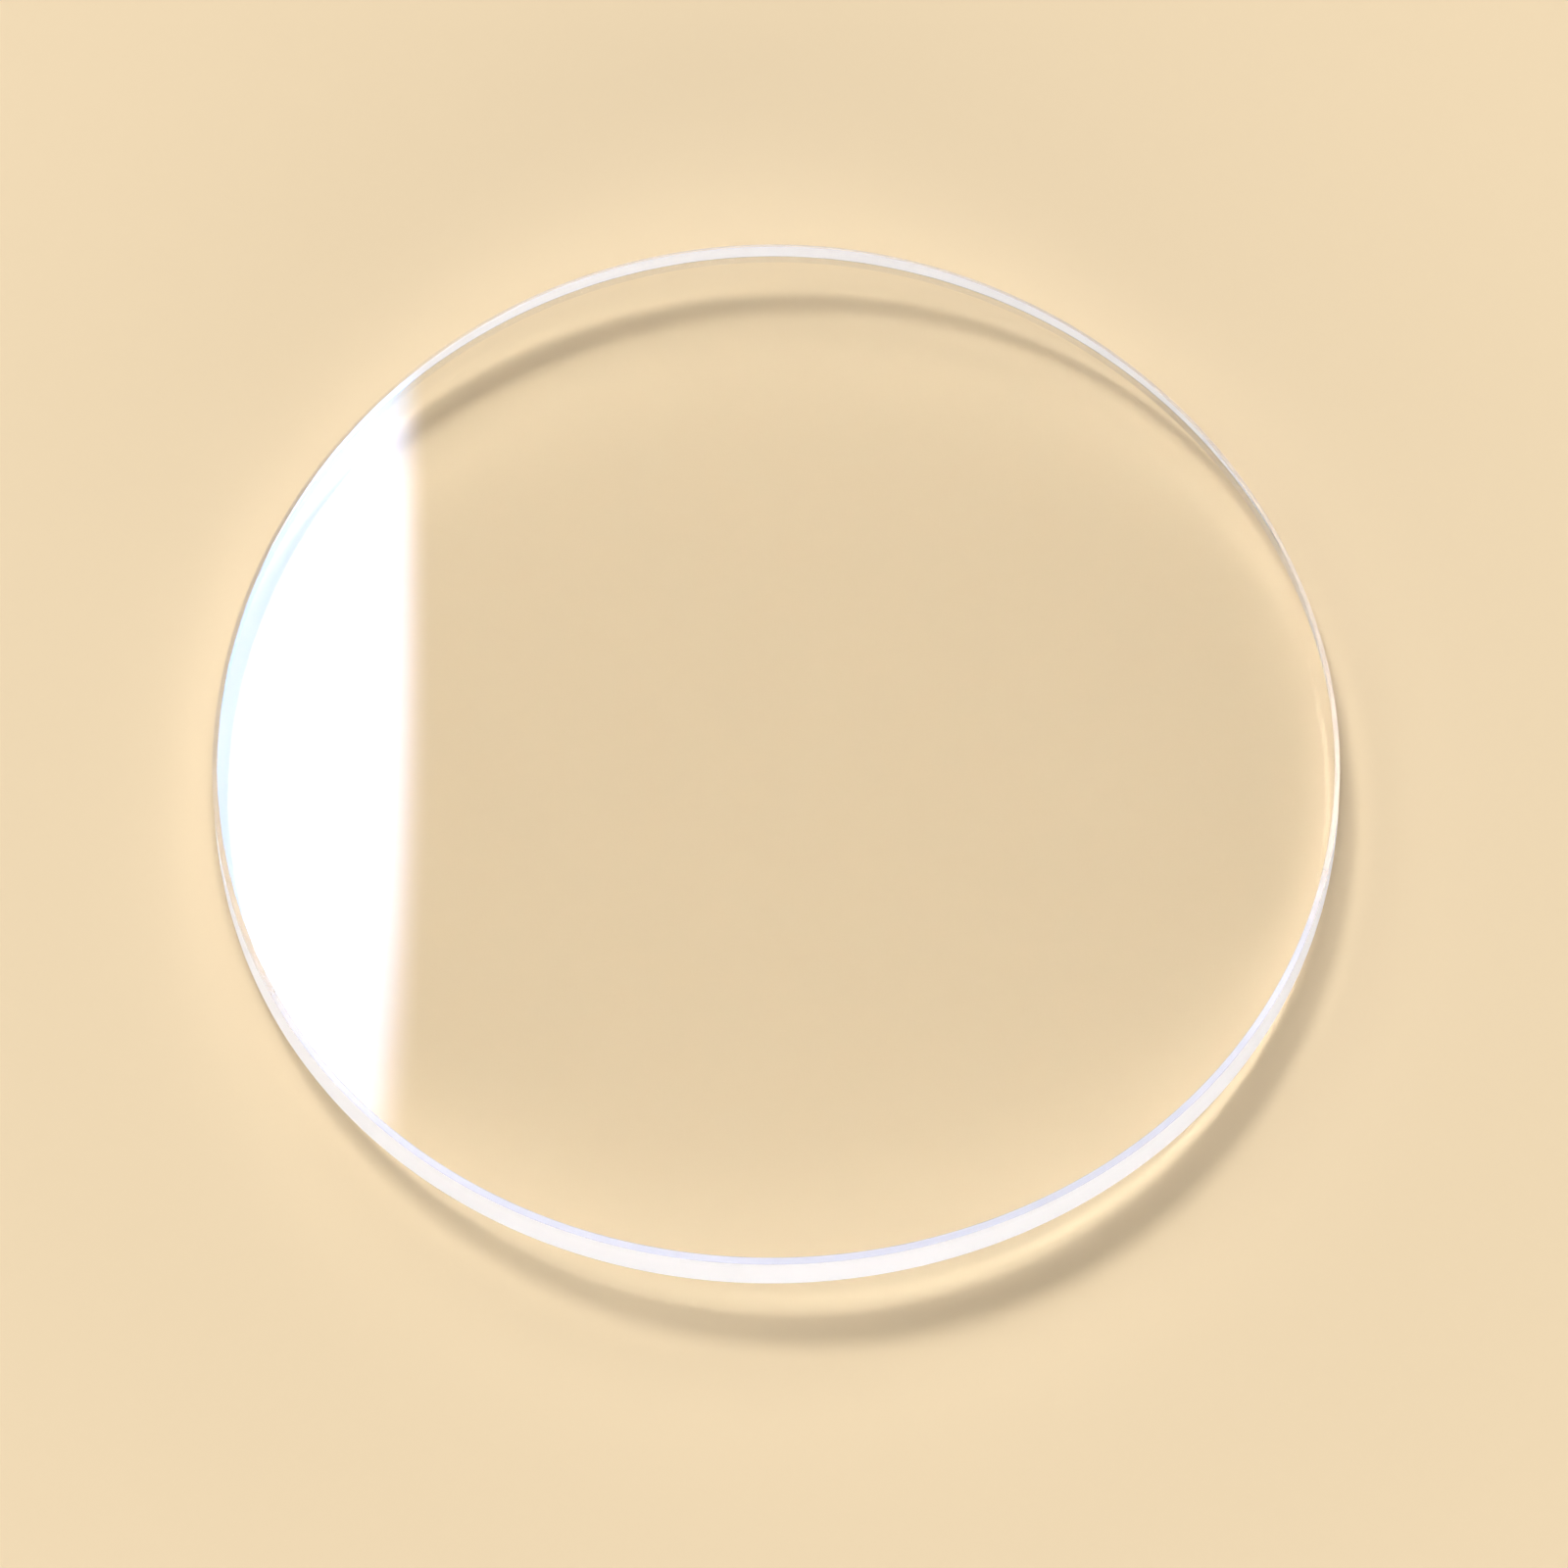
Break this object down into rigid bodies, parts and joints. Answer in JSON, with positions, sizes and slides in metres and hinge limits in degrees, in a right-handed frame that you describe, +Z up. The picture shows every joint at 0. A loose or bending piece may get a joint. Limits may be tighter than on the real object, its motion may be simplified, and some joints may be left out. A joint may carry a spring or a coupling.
{
  "type": "watch crystal",
  "caption": "Round clear glass for a watch, bent across its width to a shallow arch of even thickness, with an upright edge wall and a polished bevel round both rims.",
  "frame": {"origin": "on the surface that the crystal lies on, under the middle of its round outline", "axes": "+Z up, out of the watch and square to its dial; +Y along the straight lines of the arch, in the direction of 12 o'clock; +X towards 3 o'clock, where the arch is low"},
  "size_m": [0.03, 0.03, 0.0025],
  "materials": {
    "clear_glass": "clear and colourless, polished on both faces and on the bevels, with a thin coating on the faces that reflects faintly lavender"
  },
  "bodies": {
    "root": {"crystal": "clear_glass"}
  },
  "joints": []
}
